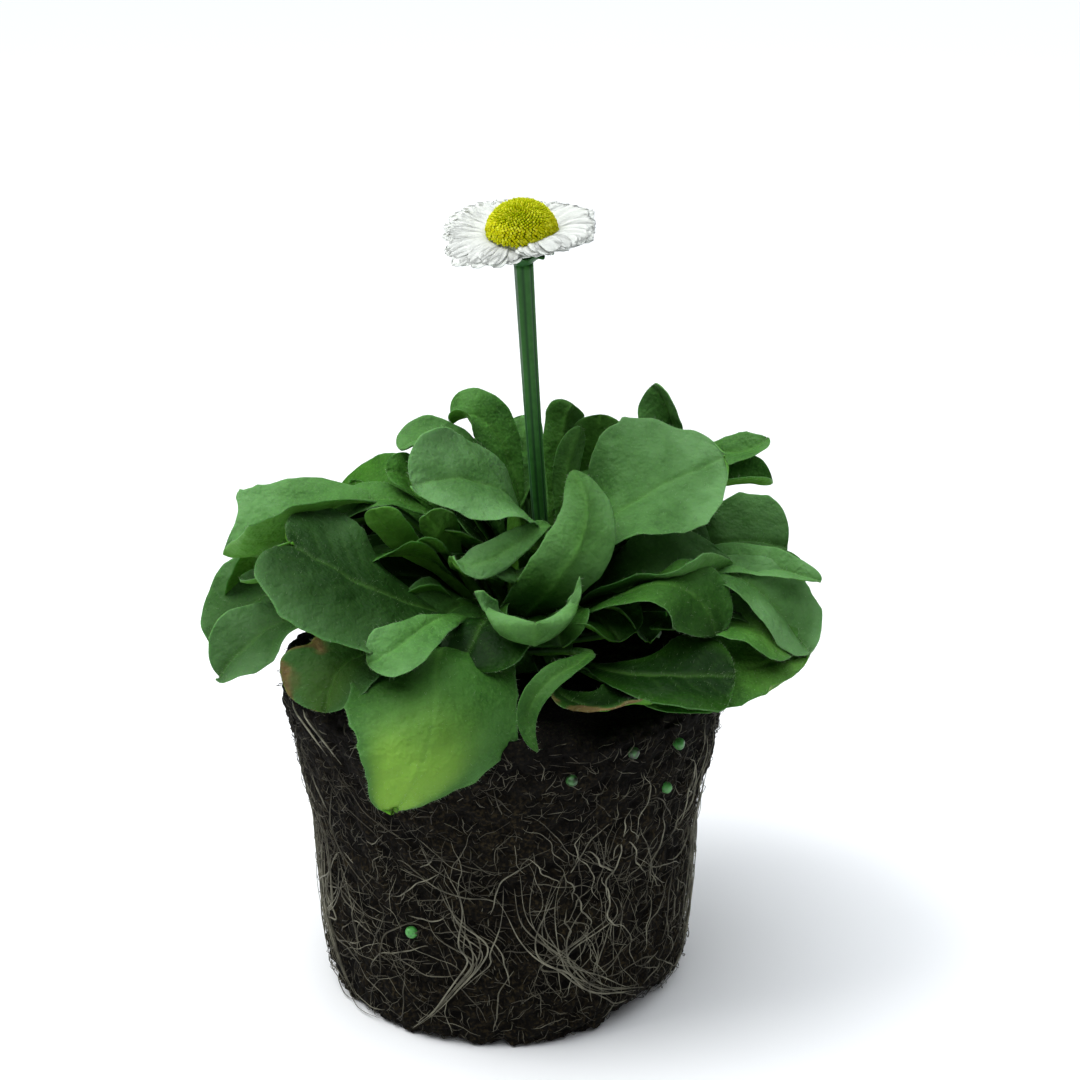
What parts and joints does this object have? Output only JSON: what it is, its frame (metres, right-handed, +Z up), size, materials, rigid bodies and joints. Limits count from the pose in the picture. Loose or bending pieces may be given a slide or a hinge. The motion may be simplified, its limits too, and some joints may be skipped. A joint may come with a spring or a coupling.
{
  "type": "english daisy plant with bare root ball",
  "caption": "English daisy lifted from its pot: rosette of spoon-shaped leaves and a white flower on a tall stalk over a tapered root ball.",
  "frame": {"origin": "middle of the root ball's flat foot, on the surface it stands on", "axes": "+Z up; -Y towards the front, where the biggest leaf hangs over the root ball; +X to the right seen from the front"},
  "size_m": [0.1266, 0.1247, 0.1698],
  "materials": {
    "peat": "matt crumbly moist peat",
    "root": "matt pale root",
    "leaf": "soft satin leaf with fine hairs",
    "stalk": "satin ridged stalk with fine hairs",
    "ray_floret": "matt white petal",
    "disc_floret": "matt yellow florets",
    "feed_grain": "waxy coated grain"
  },
  "bodies": {
    "root": {"root_ball": "peat", "roots": "root", "leaf_rosette": "leaf", "flower_stalk": "stalk", "ray_florets": "ray_floret", "flower_disc": "disc_floret", "feed_grain_1": "feed_grain", "feed_grain_2": "feed_grain", "feed_grain_3": "feed_grain", "feed_grain_4": "feed_grain", "feed_grain_5": "feed_grain"}
  },
  "joints": []
}
